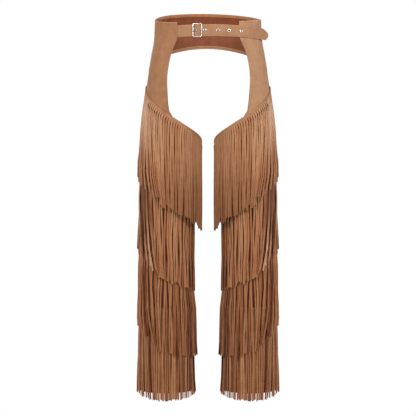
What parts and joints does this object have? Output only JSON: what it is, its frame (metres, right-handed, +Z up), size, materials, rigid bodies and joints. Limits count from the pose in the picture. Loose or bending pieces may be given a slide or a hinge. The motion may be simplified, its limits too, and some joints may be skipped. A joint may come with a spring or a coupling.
{
  "type": "fringed chaps",
  "caption": "Suede chaps filled out as worn: open seat, buckled waist strap, and tiers of long fringe round each leg.",
  "frame": {"origin": "centre of the waist, level with the middle of the front strap, where the wearer's body holds the chaps up", "axes": "+Z up, -Y the front, +X the wearer's left"},
  "size_m": [0.3784, 0.2046, 1.0241],
  "materials": {
    "suede": "tan napped suede",
    "suede_reverse": "rust-brown reverse of the suede",
    "nickel": "plain nickel plate"
  },
  "bodies": {
    "root": {"back_yoke": "suede", "yoke_top_turn": "suede", "yoke_hem_turn": "suede", "left_hip_front": "suede", "left_hip_back": "suede", "right_hip_front": "suede", "right_hip_back": "suede", "left_leg_front": "suede_reverse", "left_leg_back": "suede_reverse", "right_leg_front": "suede_reverse", "right_leg_back": "suede_reverse", "left_fringe_thigh": "suede", "left_fringe_knee": "suede", "left_fringe_shin": "suede", "left_fringe_hem": "suede", "right_fringe_thigh": "suede", "right_fringe_knee": "suede", "right_fringe_shin": "suede", "right_fringe_hem": "suede", "waist_strap": "suede", "buckle_tab": "suede", "buckle_frame": "nickel", "buckle_prong": "nickel", "eyelet_1": "nickel", "eyelet_2": "nickel", "eyelet_3": "nickel", "eyelet_4": "nickel", "eyelet_5": "nickel"}
  },
  "joints": []
}
